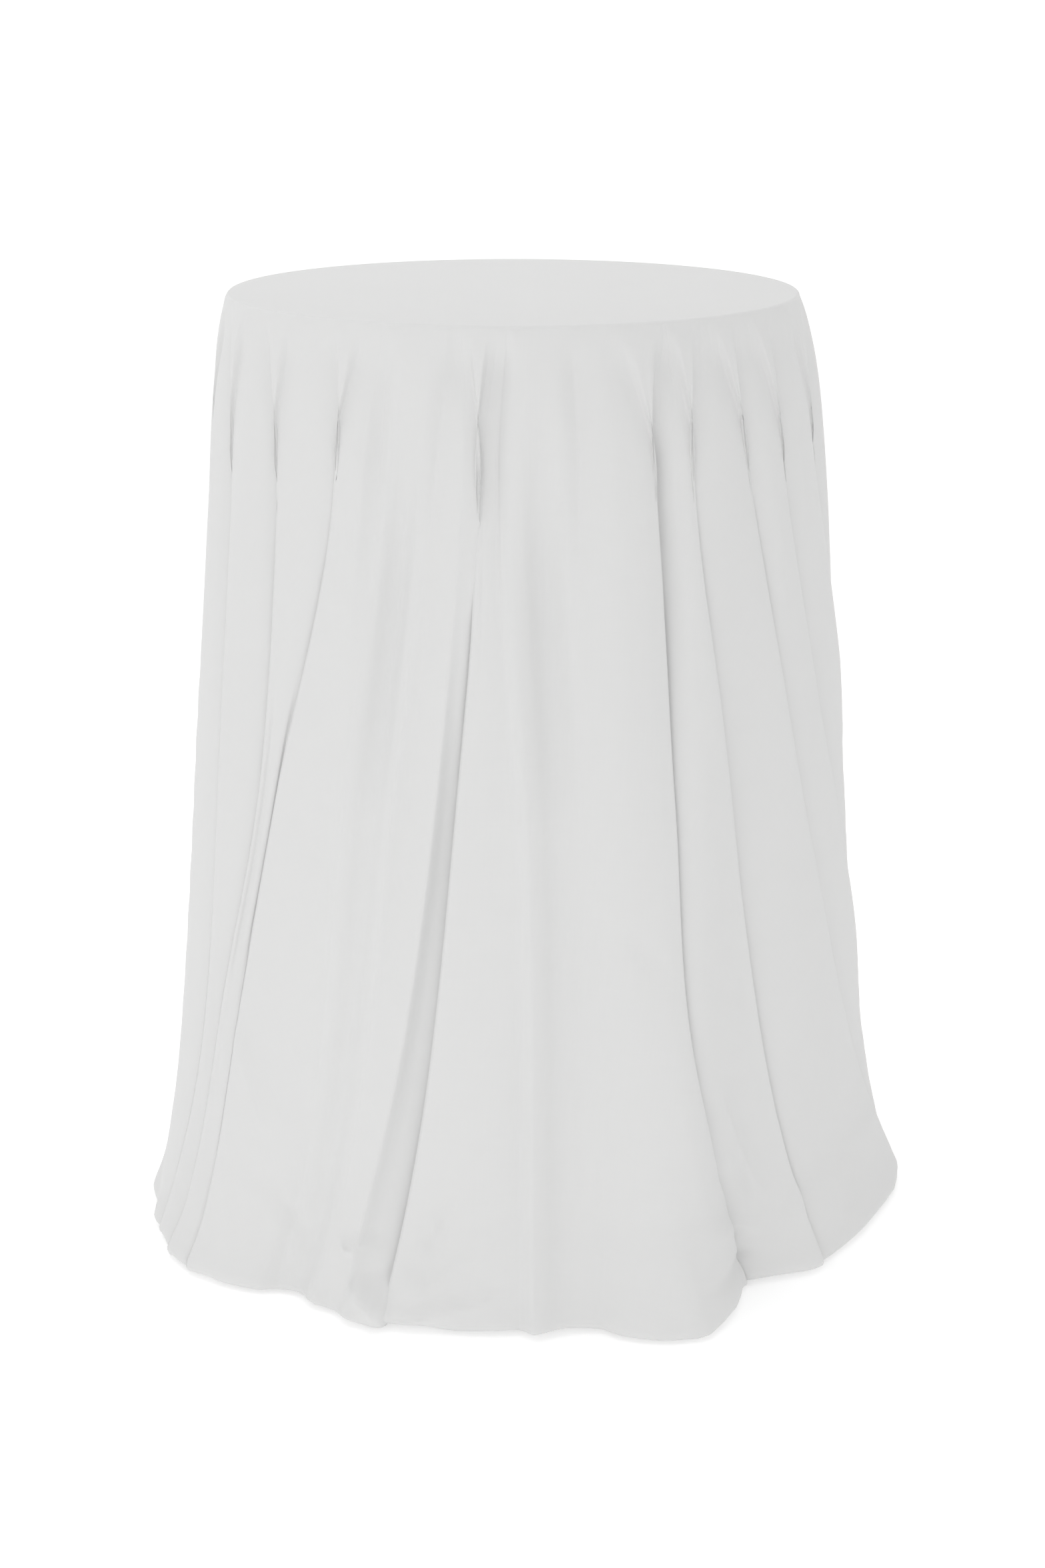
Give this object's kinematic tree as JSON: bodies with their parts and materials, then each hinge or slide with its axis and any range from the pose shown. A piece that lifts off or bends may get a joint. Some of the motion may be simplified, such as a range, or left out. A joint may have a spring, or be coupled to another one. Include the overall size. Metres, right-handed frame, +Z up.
{
  "type": "tablecloth on a table",
  "caption": "Plain round floor-length cloth draped over a tall round pedestal table, with deep soft folds and its edge tucked in under itself on the floor.",
  "frame": {"origin": "on the floor, on the axis of the column, under the centre of the round top", "axes": "+Z up along the column, -Y towards the front of the table, +X to its right as seen from the front"},
  "size_m": [0.895, 0.7739, 1.0689],
  "materials": {
    "cloth": "matte",
    "hem": "matte",
    "laminate": "satin",
    "plywood": "matte",
    "edge_band": "satin",
    "steel": "satin",
    "cast_iron": "matte",
    "zinc": "satin",
    "nylon": "satin"
  },
  "bodies": {
    "table": {"top_laminate": "laminate", "top_core": "plywood", "top_edge_band": "edge_band", "mounting_plate": "steel", "mounting_screw_1": "zinc", "mounting_screw_2": "zinc", "mounting_screw_3": "zinc", "mounting_screw_4": "zinc", "upper_socket": "cast_iron", "base_socket": "cast_iron", "column_tube": "steel", "tie_rod": "zinc", "tie_rod_washer": "zinc", "tie_rod_nut": "zinc", "cross_base": "cast_iron", "glide_bush_1": "zinc", "glide_bush_2": "zinc", "glide_bush_3": "zinc", "glide_bush_4": "zinc"},
    "cloth": {"tablecloth": "cloth", "cloth_hem": "hem"},
    "stem_1": {"glide_stem_1": "zinc"},
    "stem_2": {"glide_stem_2": "zinc"},
    "stem_3": {"glide_stem_3": "zinc"},
    "stem_4": {"glide_stem_4": "zinc"},
    "foot_1": {"glide_foot_1": "nylon"},
    "foot_2": {"glide_foot_2": "nylon"},
    "foot_3": {"glide_foot_3": "nylon"},
    "foot_4": {"glide_foot_4": "nylon"}
  },
  "joints": [
    {"name": "cloth_lift", "type": "slide", "parent": "table", "child": "cloth", "axis": [0, 0, 1], "range_m": [0, 1.12]},
    {"name": "glide_level_1", "type": "slide", "parent": "table", "child": "stem_1", "axis": [0, 0, -1], "range_m": [0, 0.01]},
    {"name": "glide_level_2", "type": "slide", "parent": "table", "child": "stem_2", "axis": [0, 0, -1], "range_m": [0, 0.01]},
    {"name": "glide_level_3", "type": "slide", "parent": "table", "child": "stem_3", "axis": [0, 0, -1], "range_m": [0, 0.01]},
    {"name": "glide_level_4", "type": "slide", "parent": "table", "child": "stem_4", "axis": [0, 0, -1], "range_m": [0, 0.01]},
    {"name": "foot_swivel_1", "type": "hinge", "parent": "stem_1", "child": "foot_1", "pos_m": [0.18243, 0.18243, 0.0048], "axis": [0, 0, 1], "continuous": true},
    {"name": "foot_swivel_2", "type": "hinge", "parent": "stem_2", "child": "foot_2", "pos_m": [-0.18243, 0.18243, 0.0048], "axis": [0, 0, 1], "continuous": true},
    {"name": "foot_swivel_3", "type": "hinge", "parent": "stem_3", "child": "foot_3", "pos_m": [-0.18243, -0.18243, 0.0048], "axis": [0, 0, 1], "continuous": true},
    {"name": "foot_swivel_4", "type": "hinge", "parent": "stem_4", "child": "foot_4", "pos_m": [0.18243, -0.18243, 0.0048], "axis": [0, 0, 1], "continuous": true}
  ]
}
